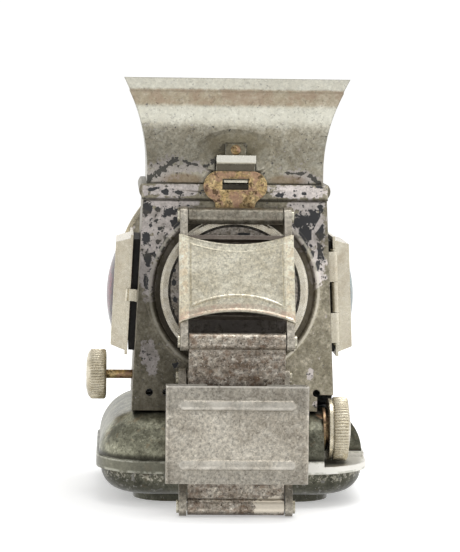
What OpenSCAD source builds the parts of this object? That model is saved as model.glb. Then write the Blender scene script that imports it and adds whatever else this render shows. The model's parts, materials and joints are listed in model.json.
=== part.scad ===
// Kerosene cycle lamp, seen from its bracket side, with a sprung parallelogram bracket.
// Millimetres. +Z up, +Y toward the front lens, the bracket is at -Y.
// The origin is the centre of the foot's flat rest face.

/* [Font] */
// Half width of the oil font over its seam band
font_half = 44.8; // [38:0.1:52]
// Plan corner radius of the seam band
font_corner_r = 20; // [14:0.5:26]
// Height of the underside of the seam band
band_z = 11; // [9:0.1:14]
// Height of the seam band
band_h = 4; // [3:0.1:6]
// Radius of the dome shoulder, which also sets the height of the dome
dome_r = 15; // [12:0.1:18]
// Radius of the lower shell's bowl curve
bowl_r = 8; // [6:0.1:8]
// Half width of the foot
foot_half = 32.5; // [26:0.1:34]

/* [Body] */
// Half width of the lamp body at its bottom edge
body_half_low = 33.35; // [30:0.05:36]
// Half width of the lamp body at its top edge
body_half_top = 30.2; // [27:0.05:33]
// Height of the body's top edge
body_top = 99.4; // [88:0.1:104]
// Thickness of the sheet metal
sheet_t = 0.8; // [0.5:0.1:1.2]
// Height of the light's axis
light_z = 69.8; // [62:0.1:74]
// Diameter of an air hole
air_hole_d = 2.4; // [1.5:0.1:3]
// Spacing of the air holes
air_pitch = 5.5; // [4:0.1:7]

/* [Hood] */
// Height of the collar
collar_h = 5.2; // [4:0.1:8]
// Half width of the hood at its base
hood_half_low = 28.95; // [26:0.05:29.5]
// Half width of the hood at its top lip
hood_half_top = 36.7; // [34:0.1:40]
// Overall height of the lamp
total_h = 139.3; // [136:0.1:150]

/* [Lens and reflector] */
// Outer radius of the front bezel
bezel_r = 38.5; // [34:0.1:38.6]
// Outer radius of the rear ring
rear_ring_r = 24.3; // [20:0.1:24.4]
// Height of the lens crown above the bezel
lens_rise = 5; // [2:0.5:9]

/* [Side windows] */
// Height of the window centres
window_z = 67; // [64:0.5:70]
// Half width of a window frame at its outer face
frame_half_top = 17.2; // [15:0.1:18]
// Half width of a window frame at its root
frame_half_low = 19; // [17:0.1:19]
// Height of a window frame's outer face above the body wall
frame_h = 8; // [6:0.1:9]
// Rise of the jewel above its frame
jewel_rise = 2.3; // [1.5:0.1:4]

/* [Wick raiser and filler] */
// Height of the raiser shaft
raiser_z = 38.7; // [37:0.1:39]
// Diameter of the raiser knob
knob_d = 17; // [12:0.1:17]
// Diameter of the filler cap
cap_d = 21; // [16:0.1:21]

/* [Bracket] */
// Height of the upper fixed pivot
pivot_z = 94.5; // [93:0.1:96]
// Distance of the upper fixed pivot behind the lamp's centre
pivot_y = 35.4; // [34:0.1:37]
// Distance between the two pivots of a bracket end
pivot_span = 52.7; // [48:0.1:53]
// Distance between a link's pivots
link_len = 45; // [40:0.1:46]
// Angle of the links from the vertical at rest
link_angle = 30.7; // [26:0.1:36]
// Radius of the pivot tubes
tube_r = 2.7; // [2.4:0.1:3]
// Half width of the socket plate
socket_half = 22.6; // [20:0.1:26]
// Height of the socket plate
socket_h = 31; // [24:0.5:32]

/* [Hidden] */

$fn = 72;
eps = 0.01;
far = 120;
gap = 0.3;
press = 0.02;
run_fit = 0.05;

font_wall_half = font_half - sheet_t;
core_half = font_half - font_corner_r;
shell_r = font_corner_r - sheet_t;
band_top = band_z + band_h;
dome_top = band_top + dome_r;
foot_h = band_z - bowl_r;
foot_r = 12;

burner_hole_r = 13.5;
shaft_r = 1.5;
shaft_y = -3.6;
wheel_r = 2;
wick_w = 10.2;
wick_t = 2.4;
wick_low = 9.5;
wick_top = 53;
tube_top = 51;
knob_in = 41.7;
knob_rim = 5.3;
knob_face = 6.8;

pocket_x = 29.6;
pocket_y = -19.5;
pocket_z = 13.4;
cap_y = -32;
cap_z = 24.4;
cap_in = 31.3;
cap_w = 7.7;
neck_r = 5;
neck_end = 36.4;
notch_r = 11.3;
notch_x = 27.8;
knurls = 48;
knurl_r = 0.4;

body_z = dome_top + 0.2;
tilt = atan((body_half_low - body_half_top) / (body_top - body_z));
collar_half = 30.6;
collar_top = body_top + collar_h;
bead_r = 3.2;
bead_rise = 0.9;
bead_half = 28;
drum_r = 27.3;
bezel_y = 39.6;
bezel_end = 45.6;
lens_edge = 36.5;
lens_flat = 41;
window_r = 13;
ring_w = 2.6;

seat_half = 18.5;
seat_t = 2;
flange_half = 20;
flange_z = 2.3;
flange_t = 0.9;
hinge_x = -21.4;
hinge_z = 2.4;
barrel_r = 1.2;
door_pin_r = 0.6;
knuckle = 5;
knuckle_end = 15.2;
jewel_sphere = (window_r * window_r + jewel_rise * jewel_rise) / (2 * jewel_rise);

hood_z = collar_top + gap;
cove_z = hood_z + 4.3;
cove_top = total_h - 11.2;
cove_half = 32.1;
cove_dz = cove_top - cove_z;
cove_dx = cove_half - hood_half_low;
cove_r = (cove_dz * cove_dz + cove_dx * cove_dx) / (2 * cove_dx);
hood_hinge_y = 33.2;
hood_hinge_z = hood_z + 2.3;
hood_barrel_r = 1.9;
hood_pin_r = 0.9;

hasp_y = collar_half;
hasp_half = 10.45;
hasp_r = 4.9;
hasp_z = 104.1;
hasp_low = 96.8;
bead_ring_r = 27.5;
catch_z = 115.9;
catch_y = 29.75;
catch_t = 0.6;
catch_bend = 113.5;
tongue_z = 105.3;

tube_half = 15.4;
strip_half = 15.4;
pin_r = 1.2;
spring_wire_r = 0.25;
spring_r = 1.75;
spring_bore = 2.3;
cheek_in = 15.7;
cheek_out = 18.1;
cheek_r = 3;
low_y = pivot_y + pivot_span * sin(tilt);
low_z = pivot_z - pivot_span * cos(tilt);
far_y = pivot_y + link_len * sin(link_angle);
far_z = pivot_z - link_len * cos(link_angle);
socket_top = -13.6;
socket_in = 7.2;
socket_out = 8;

function wall_half(z) = body_half_low - (z - body_z) * tan(tilt);

// Rounded square prism centred on the axis.
module rounded(half, r, z, h) {
    core = half - r;
    translate([0, 0, z]) linear_extrude(height = h) union() {
        square([2 * half, 2 * core], center = true);
        square([2 * core, 2 * half], center = true);
        for (x = [-core, core], y = [-core, core]) translate([x, y]) circle(r);
    }
}

// Sweep of a half section around a rounded square: the section's x is measured from core_half.
module swept() {
    for (turn = [0, 90]) rotate([0, 0, turn]) rotate([90, 0, 0])
        linear_extrude(height = 2 * core_half, center = true) {
            translate([core_half - eps, 0]) children();
            mirror([1, 0]) translate([core_half - eps, 0]) children();
        }
    for (x = [-core_half, core_half], y = [-core_half, core_half])
        translate([x, y, 0]) rotate_extrude() children();
}

module dome_section(r, reach) {
    square([reach, band_top - band_z]);
    translate([0, band_top - band_z]) square([reach - r, r]);
    intersection() {
        translate([reach - r, band_top - band_z]) circle(r);
        translate([0, band_top - band_z - eps]) square([far, far]);
    }
}

module bowl_section(r, reach) {
    translate([0, -r]) square([reach - r, r]);
    intersection() {
        translate([reach - r, 0]) circle(r);
        translate([0, -far]) square([far, far]);
    }
}

module dome(r, reach, drop) {
    translate([0, 0, band_z - drop]) union() {
        swept() dome_section(r, reach);
        translate([-core_half, -core_half, 0]) cube([2 * core_half, 2 * core_half, band_h + r]);
    }
}

module bowl(r, reach) {
    translate([0, 0, band_z]) union() {
        swept() bowl_section(r, reach);
        translate([-core_half, -core_half, -r]) cube([2 * core_half, 2 * core_half, r]);
    }
}

module knurled(r, w) {
    difference() {
        cylinder(r = r, h = w);
        for (i = [0:knurls - 1]) rotate([0, 0, i * 360 / knurls])
            translate([r + knurl_r * 0.35, 0, -1]) cylinder(r = knurl_r, h = w + 2, $fn = 16);
    }
}

// Square frustum between two heights, by half widths.
module frustum(low, top, z0, z1) {
    intersection() {
        frustum_slab(low, top, z0, z1);
        rotate([0, 0, 90]) frustum_slab(low, top, z0, z1);
    }
}

module frustum_slab(low, top, z0, z1) {
    rotate([90, 0, 0]) linear_extrude(height = far, center = true)
        polygon([[-low, z0], [low, z0], [top, z1], [-top, z1]]);
}

// Local frame on a body wall: x along the wall, y up it, z outward. 0 rear, 90 right, -90 left.
module on_wall(side, z) {
    rotate([0, 0, side]) translate([0, -wall_half(z), z]) rotate([90 - tilt, 0, 0]) children();
}

module plate(w, h, z0, z1) {
    translate([-w / 2, -h / 2, z0]) cube([w, h, z1 - z0]);
}

// Box from one corner to the other.
module box(a, b) {
    translate(a) cube([b[0] - a[0], b[1] - a[1], b[2] - a[2]]);
}

// Cylinder along X between two stations of a local frame.
module rod(r, x0, x1) {
    translate([x0, 0, 0]) rotate([0, 90, 0]) cylinder(r = r, h = x1 - x0);
}

// Frame of a link: origin at its lamp-side pivot, y up the link, z away from the lamp.
module in_link(y, z) {
    translate([0, -y, z]) rotate([90 - link_angle, 0, 0]) children();
}

module in_strip() {
    translate([0, -far_y, far_z]) rotate([90 - tilt, 0, 0]) children();
}

// Corner cut for the filler cap, grown by the thickness of its own walls.
module pocket(t) {
    box([pocket_x - t, -far, pocket_z - t], [far, pocket_y + t, far]);
}

module font_foot() {
    color([0.30, 0.29, 0.25]) rounded(foot_half, foot_r, 0, foot_h);
}

module font_lower_shell() {
    color([0.30, 0.30, 0.26]) difference() {
        bowl(bowl_r, shell_r - sheet_t + eps);
        translate([0, 0, eps]) bowl(bowl_r - sheet_t, shell_r - 2 * sheet_t);
    }
}

module font_band() {
    color([0.46, 0.46, 0.41]) difference() {
        rounded(font_half, font_corner_r, band_z, band_h);
        rounded(font_wall_half, shell_r, band_z - 1, band_h + 2);
        pocket(0);
    }
}

module font_upper_shell() {
    color([0.38, 0.37, 0.32]) difference() {
        dome(dome_r, shell_r, 0);
        pocket(0);
        difference() {
            dome(dome_r - sheet_t, shell_r - sheet_t, eps);
            pocket(sheet_t);
        }
        cylinder(r = burner_hole_r, h = far);
        translate([0, cap_y, cap_z]) rod(neck_r + press, 20, far);
    }
}

module burner_collar() {
    color([0.62, 0.50, 0.26]) translate([0, 0, dome_top - 6]) difference() {
        union() {
            cylinder(r = burner_hole_r - press, h = 6);
            translate([0, 0, 6]) cylinder(r = 15.5, h = 0.6);
        }
        translate([0, 0, -1]) cylinder(r = 12, h = 9);
    }
}

module burner_body() {
    z0 = dome_top + 0.7;
    color([0.70, 0.55, 0.28]) difference() {
        union() {
            translate([0, 0, dome_top - 7]) cylinder(r = 11.9, h = 7.8);
            translate([0, 0, z0]) cylinder(r = 16, h = 1.6);
            translate([0, 0, z0 + 1.5]) cylinder(r = 10.5, h = 9.5);
            translate([0, 0, z0 + 10.9]) cylinder(r1 = 10.5, r2 = 7, h = 3);
            box([-6.2, -2.3, 20], [6.2, 2.3, tube_top]);
        }
        box([-wick_w / 2 - gap, -wick_t / 2 - gap, 10], [wick_w / 2 + gap, wick_t / 2 + gap, 60]);
        translate([0, shaft_y, raiser_z]) rod(wheel_r + gap, -5.2, 5.2);
        translate([0, shaft_y, raiser_z]) rod(shaft_r + run_fit, -20, 7);
    }
}

module raiser_shaft() {
    color([0.72, 0.58, 0.30]) translate([0, shaft_y, raiser_z]) union() {
        rod(shaft_r, -knob_in - 4, 6.6);
        for (x = [-3.4, 2]) difference() {
            rod(wheel_r, x, x + 1.4);
            for (i = [0:9]) rotate([i * 36, 0, 0]) translate([0, wheel_r + 0.1, 0])
                rod(0.25, x - 1, x + 3, $fn = 16);
        }
    }
}

module wick_knob() {
    color([0.55, 0.50, 0.36]) translate([-knob_in, shaft_y, raiser_z]) rotate([0, -90, 0])
        difference() {
            union() {
                knurled(knob_d / 2, knob_rim);
                translate([0, 0, knob_rim]) cylinder(r1 = knob_d / 2 - 0.4, r2 = knob_d / 2 - 2, h = 1.5);
                translate([0, 0, knob_rim]) cylinder(r = knob_d / 2 - 3, h = knob_face - knob_rim);
            }
            translate([0, 0, -1]) cylinder(r = shaft_r + press, h = 5);
        }
}

module wick() {
    color([0.86, 0.82, 0.70])
        box([-wick_w / 2, -wick_t / 2, wick_low], [wick_w / 2, wick_t / 2, wick_top]);
}

module filler_neck() {
    color([0.62, 0.52, 0.30]) translate([0, cap_y, cap_z]) difference() {
        union() {
            rod(neck_r, 26, neck_end);
            rod(neck_r + 2, pocket_x, pocket_x + 0.8);
        }
        rod(neck_r - 1.1, 20, 40);
    }
}

module cap_washer() {
    color([0.45, 0.30, 0.18]) translate([0, cap_y, cap_z]) difference() {
        rod(neck_r - 0.1, neck_end + 0.1, neck_end + 0.9);
        rod(1.5, 30, 40);
    }
}

module filler_cap() {
    color([0.66, 0.60, 0.47]) translate([cap_in, cap_y, cap_z]) rotate([0, 90, 0]) difference() {
        union() {
            cylinder(r = cap_d / 2 - 0.2, h = 1.4);
            translate([0, 0, 1.3]) cylinder(r = cap_d / 2 - 0.7, h = 0.3);
            translate([0, 0, 1.5]) knurled(cap_d / 2, 4.9);
            translate([0, 0, 6.3]) cylinder(r1 = cap_d / 2 - 0.5, r2 = cap_d / 2 - 2.6, h = 0.6);
            intersection() {
                translate([0, 0, cap_w - 36]) sphere(r = 36);
                translate([0, 0, 6.3]) cylinder(r = cap_d / 2 - 2.4, h = 3);
            }
        }
        translate([0, 0, -1]) cylinder(r = neck_r + gap, h = 1 + neck_end + 1 - cap_in);
    }
}

module cap_notch() {
    translate([0, cap_y, cap_z]) rod(notch_r, notch_x, far);
}

// The folded body, before it is cut into its four mitred walls.
module body_shell() {
    difference() {
        frustum(body_half_low, body_half_top, body_z, body_top);
        frustum(body_half_low - sheet_t + 0.04, body_half_top - sheet_t - 0.04, body_z - 1, body_top + 1);
        cap_notch();
        box([-far, shaft_y - 2.2, body_z - 1], [-20, shaft_y + 2.2, raiser_z]);
        translate([0, shaft_y, raiser_z]) rod(2.2, -far, -20);
        translate([0, 0, light_z]) rotate([-90, 0, 0]) cylinder(r = drum_r + press, h = far);
        translate([0, 0, light_z]) rotate([90, 0, 0]) cylinder(r = 20, h = far);
        for (side = [-90, 90]) on_wall(side, window_z) translate([0, 0, -5]) cylinder(r = window_r, h = 9);
        for (i = [-5:5]) translate([i * air_pitch, 0, body_z + 6])
            rotate([90, 0, 0]) cylinder(r = air_hole_d / 2, h = far, center = true);
    }
}

module body_wall(side) {
    color([0.44, 0.41, 0.35]) intersection() {
        body_shell();
        rotate([0, 0, side]) linear_extrude(height = far) polygon([[0, 0], [-far, -far], [far, -far]]);
    }
}

// Raised bead around the rear ring, left out where the bearings are soldered on.
module wall_bead() {
    color([0.46, 0.43, 0.37]) on_wall(0, light_z) difference() {
        rotate_extrude($fn = 144) intersection() {
            translate([bead_ring_r, -1.2]) circle(1.9);
            translate([bead_ring_r - 3, -0.4]) square([6, 3]);
        }
        box([-13.8, -far, -2], [13.8, far, 3]);
    }
}

module rear_wall() {
    union() {
        body_wall(0);
        wall_bead();
    }
}

module right_wall() {
    body_wall(90);
}

module left_wall() {
    body_wall(-90);
}

module front_wall() {
    body_wall(180);
}

module body_floor() {
    color([0.30, 0.29, 0.26]) difference() {
        frustum(body_half_low - sheet_t - 0.05, body_half_low - sheet_t - 0.15, body_z + 1, body_z + 2);
        translate([0, 0, body_z]) cylinder(r = 19, h = 4);
        cap_notch();
        box([-far, shaft_y - 2.2, body_z], [-18, shaft_y + 2.2, body_z + 4]);
    }
}

module side_bead() {
    intersection() {
        translate([collar_half + bead_rise - bead_r, 0, collar_top - 2.2]) rotate([90, 0, 0])
            cylinder(r = bead_r, h = 2 * bead_half, center = true);
        box([collar_half - 0.3, -bead_half, body_top], [far, bead_half, collar_top]);
    }
}

module body_collar() {
    color([0.50, 0.48, 0.42]) difference() {
        union() {
            rounded(collar_half, 1.5, body_top, collar_h);
            for (m = [0, 1]) mirror([m, 0, 0]) side_bead();
        }
        rounded(collar_half - sheet_t, 0.8, body_top - 1, collar_h - sheet_t + 1);
        rounded(26.5, 1.5, body_top, collar_h + 1);
    }
}

module revolve_y() {
    translate([0, 0, light_z]) rotate([-90, 0, 0]) rotate_extrude() children();
}

module lens_drum() {
    color([0.40, 0.38, 0.33]) revolve_y()
        polygon([[26.5, 29.8], [drum_r, 29.8], [drum_r, 33], [36.8, 39.2], [36.8, 40.5],
            [36, 40.5], [36, 39.7], [26.5, 33.4]]);
}

module lens_gasket() {
    color([0.20, 0.18, 0.16]) revolve_y() translate([33.8, 40.6]) square([2.8, 0.35]);
}

module front_lens() {
    rise_y = lens_flat + 2 + lens_rise;
    edge_dy = 2.4;
    r = (lens_edge * lens_edge + lens_rise * lens_rise) / (2 * lens_rise);
    color([0.80, 0.88, 0.86, 0.4]) translate([0, 0, light_z]) rotate([-90, 0, 0]) union() {
        translate([0, 0, lens_flat]) cylinder(r = lens_edge, h = edge_dy);
        intersection() {
            translate([0, 0, rise_y - r]) sphere(r = r, $fn = 288);
            translate([0, 0, lens_flat + 1]) cylinder(r = 34.4, h = 20);
        }
    }
}

module front_bezel() {
    color([0.80, 0.78, 0.68]) revolve_y()
        polygon([[36.85, bezel_y], [bezel_r, bezel_y], [bezel_r, 44.4], [bezel_r - 1.4, bezel_end],
            [34.7, bezel_end], [34.7, 44.4], [36.85, 44.4]]);
}

module reflector() {
    r = 33.8;
    color([0.85, 0.85, 0.82]) on_wall(0, light_z) intersection() {
        difference() {
            translate([0, 0, -r - 1.4]) sphere(r = r);
            translate([0, 0, -r - 1.4]) sphere(r = r - 0.6);
        }
        translate([0, 0, -11.5]) cylinder(r = 26, h = 11);
    }
}

module rear_disc() {
    color([0.58, 0.56, 0.50]) on_wall(0, light_z) union() {
        translate([0, 0, gap]) cylinder(r = rear_ring_r - ring_w - 0.3, h = 0.8);
        translate([0, 0, -1.2]) cylinder(r = 19.6, h = 1.6);
    }
}

module rear_ring() {
    color([0.66, 0.63, 0.55]) on_wall(0, light_z) difference() {
        union() {
            cylinder(r = rear_ring_r, h = 1.1);
            translate([0, 0, 1]) cylinder(r1 = rear_ring_r - 0.2, r2 = rear_ring_r - 0.8, h = 0.6);
        }
        translate([0, 0, -1]) cylinder(r = rear_ring_r - ring_w, h = 4);
    }
}

module window_seats() {
    color([0.07, 0.07, 0.07]) for (side = [-90, 90]) on_wall(side, window_z) difference() {
        plate(2 * seat_half, 2 * seat_half, 0, seat_t);
        translate([0, 0, -1]) cylinder(r = window_r + 0.4, h = 5);
    }
}

module door_leaves() {
    color([0.58, 0.55, 0.46]) for (side = [-90, 90]) on_wall(side, window_z) {
        for (m = [0, 1]) mirror([0, m, 0]) difference() {
            union() {
                translate([hinge_x, knuckle + 0.2, hinge_z]) rotate([-90, 0, 0])
                    cylinder(r = barrel_r, h = knuckle_end - knuckle - 0.2, $fn = 40);
                box([hinge_x - barrel_r, knuckle + 0.2, 0], [hinge_x + 1, knuckle_end, hinge_z]);
            }
            translate([hinge_x, 0, hinge_z]) rotate([-90, 0, 0])
                cylinder(r = door_pin_r + press, h = 20, $fn = 32);
        }
    }
}

module door_catches() {
    color([0.62, 0.60, 0.52]) for (side = [-90, 90]) on_wall(side, window_z) union() {
        box([flange_half + gap, -2, 0], [flange_half + gap + 0.6, 2, 3.8]);
        box([flange_half + gap, -2, 0], [flange_half + 2.8, 2, 0.6]);
        translate([flange_half + gap + 0.5, -2, 3.4]) rotate([-90, 0, 0])
            cylinder(r = 0.5, h = 4, $fn = 32);
    }
}

module door_pin(side) {
    on_wall(side, window_z) translate([hinge_x, -knuckle_end - 0.5, hinge_z]) rotate([-90, 0, 0])
        union() {
            cylinder(r = door_pin_r, h = 2 * knuckle_end + 1, $fn = 32);
            translate([0, 0, 2 * knuckle_end + 0.5]) cylinder(r = 1.1, h = 0.8, $fn = 32);
            translate([0, 0, -0.3]) cylinder(r = 1.1, h = 0.8, $fn = 32);
        }
}

module right_pin() {
    color([0.70, 0.66, 0.55]) door_pin(90);
}

module left_pin() {
    color([0.70, 0.66, 0.55]) door_pin(-90);
}

module door_frame(side) {
    on_wall(side, window_z) difference() {
        union() {
            plate(2 * flange_half, 2 * flange_half, flange_z, flange_z + flange_t);
            frustum(frame_half_low, frame_half_top, flange_z, frame_h);
            difference() {
                union() {
                    translate([hinge_x, -knuckle, hinge_z]) rotate([-90, 0, 0])
                        cylinder(r = barrel_r, h = 2 * knuckle, $fn = 40);
                    box([hinge_x, -knuckle, flange_z], [-flange_half + 1, knuckle, flange_z + flange_t]);
                }
            }
        }
        frustum(frame_half_low - sheet_t, frame_half_top - sheet_t, flange_z - 1, frame_h - sheet_t);
        translate([0, 0, frame_h - 2]) cylinder(r = window_r + 0.2, h = 5);
        translate([hinge_x, -10, hinge_z]) rotate([-90, 0, 0])
            cylinder(r = door_pin_r + run_fit, h = 20, $fn = 32);
    }
}

module right_frame() {
    color([0.74, 0.70, 0.58]) door_frame(90);
}

module left_frame() {
    color([0.74, 0.70, 0.58]) door_frame(-90);
}

module jewel(side) {
    on_wall(side, window_z) union() {
        translate([0, 0, frame_h - sheet_t - 1.2]) cylinder(r = window_r + 1.3, h = 1.15);
        intersection() {
            translate([0, 0, frame_h + jewel_rise - jewel_sphere]) sphere(r = jewel_sphere);
            translate([0, 0, frame_h - sheet_t - 0.5]) cylinder(r = window_r, h = 9);
        }
    }
}

module right_jewel() {
    color([0.05, 0.35, 0.18, 0.6]) jewel(90);
}

module left_jewel() {
    color([0.50, 0.04, 0.06, 0.6]) jewel(-90);
}

module jewel_ring(side) {
    on_wall(side, window_z) translate([0, 0, frame_h - sheet_t - 2.1]) difference() {
        cylinder(r = window_r + 1.3, h = 0.85);
        translate([0, 0, -1]) cylinder(r = window_r - 0.6, h = 4);
    }
}

module right_jewel_ring() {
    color([0.60, 0.58, 0.50]) jewel_ring(90);
}

module left_jewel_ring() {
    color([0.60, 0.58, 0.50]) jewel_ring(-90);
}

module crown_section(inset, drop) {
    low = hood_half_low - inset;
    top = hood_half_top - inset;
    cove = cove_half - inset;
    difference() {
        polygon([[-low, hood_z - drop], [low, hood_z - drop], [low, cove_z], [cove, cove_z],
            [cove, cove_top], [cove + 2.2, cove_top + 2.6], [cove + 2.5, cove_top + 4],
            [top - 1.9, total_h - 4], [top, total_h + drop], [-top, total_h + drop],
            [1.9 - top, total_h - 4], [-cove - 2.5, cove_top + 4], [-cove - 2.2, cove_top + 2.6],
            [-cove, cove_top], [-cove, cove_z], [-low, cove_z]]);
        for (m = [0, 1]) mirror([m, 0]) translate([low + cove_r, cove_z]) circle(cove_r, $fn = 180);
    }
}

module crown_solid(inset, drop) {
    intersection() {
        rotate([90, 0, 0]) linear_extrude(height = far, center = true) crown_section(inset, drop);
        rotate([90, 0, 90]) linear_extrude(height = far, center = true) crown_section(inset, drop);
    }
}

module hood_crown() {
    color([0.55, 0.53, 0.46]) difference() {
        crown_solid(0, 0);
        crown_solid(sheet_t, 1);
        box([-6.7, -far, hood_z - 1], [6.7, -20, catch_bend + 0.1]);
        translate([0, 0, catch_z]) rotate([90, 0, 0]) cylinder(r = 1.2 + press, h = far);
    }
}

module hood_floor() {
    half = hood_half_low - sheet_t - 0.05;
    color([0.28, 0.27, 0.25]) difference() {
        translate([-half, -half + 5, hood_z + 0.6]) cube([2 * half, 2 * half - 5, 0.8]);
        cylinder(r = 15.8, h = far);
    }
}

module hood_chimney() {
    color([0.24, 0.23, 0.22]) translate([0, 0, hood_z + 0.6]) difference() {
        cylinder(r = 15.8 - press, h = 15);
        translate([0, 0, -1]) cylinder(r = 15, h = 20);
    }
}

module hood_baffle() {
    color([0.35, 0.34, 0.31]) union() {
        translate([0, 0, hood_z + 20]) cylinder(r = 22, h = 0.8);
        for (i = [0:3]) rotate([0, 0, 45 + 90 * i]) translate([18.5, 0, hood_z + 1.4])
            cylinder(r = 1.2, h = 18.7, $fn = 32);
    }
}

module in_hood_hinge() {
    translate([0, hood_hinge_y, hood_hinge_z]) children();
}

module hood_leaf() {
    color([0.60, 0.57, 0.48]) difference() {
        union() {
            box([-5.7, hood_half_low, hood_z + 0.3], [5.7, hood_half_low + 0.8, cove_z]);
            box([-5.7, hood_half_low, hood_hinge_z - 1], [5.7, hood_hinge_y, hood_hinge_z + 1]);
            in_hood_hinge() rod(hood_barrel_r, -5.7, 5.7);
        }
        in_hood_hinge() rod(hood_pin_r + run_fit, -9, 9);
    }
}

module collar_leaf() {
    color([0.60, 0.57, 0.48]) for (m = [0, 1]) mirror([m, 0, 0]) difference() {
        union() {
            box([6, collar_half, body_top + 0.5], [12, collar_half + 0.8, hood_hinge_z]);
            box([6, collar_half, hood_hinge_z - 1.2], [12, hood_hinge_y, hood_hinge_z]);
            in_hood_hinge() rod(hood_barrel_r, 6, 12);
        }
        in_hood_hinge() rod(hood_pin_r + press, 1, 20);
    }
}

module hood_pin() {
    color([0.70, 0.66, 0.55]) in_hood_hinge() union() {
        rod(hood_pin_r, -12.4, 12.4);
        for (m = [0, 1]) mirror([m, 0, 0]) rod(1.6, 12.3, 13.1);
    }
}

module hasp_plate() {
    color([0.62, 0.47, 0.22]) translate([0, -hasp_y, 0]) rotate([90, 0, 0])
        linear_extrude(height = 0.8) difference() {
            union() {
                for (x = [hasp_r - hasp_half, hasp_half - hasp_r]) translate([x, hasp_z]) circle(hasp_r);
                translate([hasp_r - hasp_half, hasp_z - hasp_r])
                    square([2 * (hasp_half - hasp_r), 2 * hasp_r]);
                polygon([[-6.3, hasp_low], [6.3, hasp_low], [6.7, 98.6], [8.2, 100.4], [-8.2, 100.4],
                    [-6.7, 98.6]]);
            }
            translate([-4.3, 102.9]) square([8.6, 3.6]);
        }
}

module catch_base() {
    color([0.66, 0.63, 0.55]) difference() {
        box([-3.4, -catch_y - catch_t, catch_bend + 0.15], [3.4, -catch_y, catch_z + 2.1]);
        translate([0, 0, catch_z]) rotate([90, 0, 0]) cylinder(r = 1.2 + press, h = far);
    }
}

module catch_spring() {
    color([0.66, 0.63, 0.55]) union() {
        box([-6.4, -catch_y - catch_t, tongue_z], [6.4, -catch_y, catch_bend - 0.1]);
        box([-3.8, -33.2, tongue_z], [3.8, -catch_y, tongue_z + 0.8]);
        box([-6.4, -36, 111.5], [6.4, -catch_y - catch_t + eps, 112.3]);
        box([-6.4, -36, 111.5], [6.4, -35.3, 114.3]);
    }
}

module catch_rivet() {
    color([0.72, 0.56, 0.28]) translate([0, -catch_y - catch_t, catch_z]) rotate([90, 0, 0]) union() {
        translate([0, 0, -3.2]) cylinder(r = 1.2, h = 3.4, $fn = 40);
        intersection() {
            translate([0, 0, -1.4]) sphere(r = 2.2, $fn = 48);
            cylinder(r = 1.7, h = 3, $fn = 48);
        }
    }
}

module bearing(y, z, bore) {
    difference() {
        union() {
            translate([0, -y, z]) rod(tube_r, -tube_half, tube_half);
            for (m = [0, 1]) mirror([m, 0, 0]) {
                box([9.5, -y, z - 1.3], [13.5, -wall_half(z) - 0.3, z + 1.3]);
                on_wall(0, z) translate([11.5, 0.5, 0]) plate(4, 5.2, 0.02, 0.8);
            }
        }
        translate([0, -y, z]) rod(pin_r + run_fit, -20, 20);
        translate([0, -y, z]) rod(bore, -11.3, 11.3);
    }
}

module upper_bearing() {
    color([0.62, 0.60, 0.53]) bearing(pivot_y, pivot_z, spring_bore);
}

module lower_bearing() {
    color([0.62, 0.60, 0.53]) bearing(low_y, low_z, pin_r + run_fit);
}

module cheeks() {
    for (m = [0, 1]) mirror([m, 0, 0]) difference() {
        union() {
            rod(cheek_r, cheek_in, cheek_out);
            translate([0, -link_len, 0]) rod(cheek_r, cheek_in, cheek_out);
            box([cheek_in, -link_len, -cheek_r], [cheek_out, 0, cheek_r]);
        }
        rod(pin_r + press, 10, 25);
        translate([0, -link_len, 0]) rod(pin_r + press, 10, 25);
    }
}

module upper_link() {
    color([0.64, 0.61, 0.54]) in_link(pivot_y, pivot_z) union() {
        cheeks();
        for (y = [-36, -8.5]) box([-cheek_in - 0.5, y, -cheek_r], [cheek_in + 0.5, y + 1.5, 0]);
        box([-cheek_in - 0.5, -36, -cheek_r], [cheek_in + 0.5, -7, -cheek_r + 0.8]);
    }
}

// Plate outline with concave ends: top and low are the corners, top_mid and low_mid the hollows.
module cover_outline(half, top, top_mid, low_mid, low) {
    chord = half + 0.6;
    r1 = (chord * chord + pow(top - top_mid, 2)) / (2 * (top - top_mid));
    r2 = (chord * chord + pow(low_mid - low, 2)) / (2 * (low_mid - low));
    difference() {
        translate([-half, low]) square([2 * half, top - low]);
        translate([0, top_mid + r1]) circle(r1, $fn = 180);
        translate([0, low_mid - r2]) circle(r2, $fn = 180);
    }
}

module link_cover() {
    half = cheek_out + 0.5;
    face = cheek_r + 0.02;
    lip_r = 50;
    color([0.80, 0.78, 0.69]) in_link(pivot_y, pivot_z) union() {
        translate([0, 0, face]) linear_extrude(height = 0.7)
            cover_outline(half, -8.2, -12.1, -36.1, -40);
        translate([0, 0, face + 0.3]) linear_extrude(height = 0.75)
            cover_outline(14.8, -11.1, -15.2, -31, -35.3);
        for (m = [0, 1]) mirror([m, 0, 0])
            box([cheek_out + 0.05, -39, -2.6], [half - 0.02, -9, face + 0.3]);
        intersection() {
            translate([0, -35.4 - lip_r, 0]) difference() {
                translate([0, 0, 1.2]) cylinder(r = lip_r, h = face - 1, $fn = 180);
                cylinder(r = lip_r - 0.6, h = 9, $fn = 180);
            }
            box([-cheek_in + 0.4, -42, 0], [cheek_in - 0.4, -30, 9]);
        }
    }
}

module link_pins(y, z) {
    in_link(y, z) for (s = [0, -link_len]) translate([0, s, 0]) union() {
        rod(pin_r, -cheek_out - 0.2, cheek_out + 0.2);
        for (m = [0, 1]) mirror([m, 0, 0]) rod(2.1, cheek_out + 0.05, cheek_out + 0.85);
    }
}

module upper_pins() {
    color([0.70, 0.68, 0.60]) link_pins(pivot_y, pivot_z);
}

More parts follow.
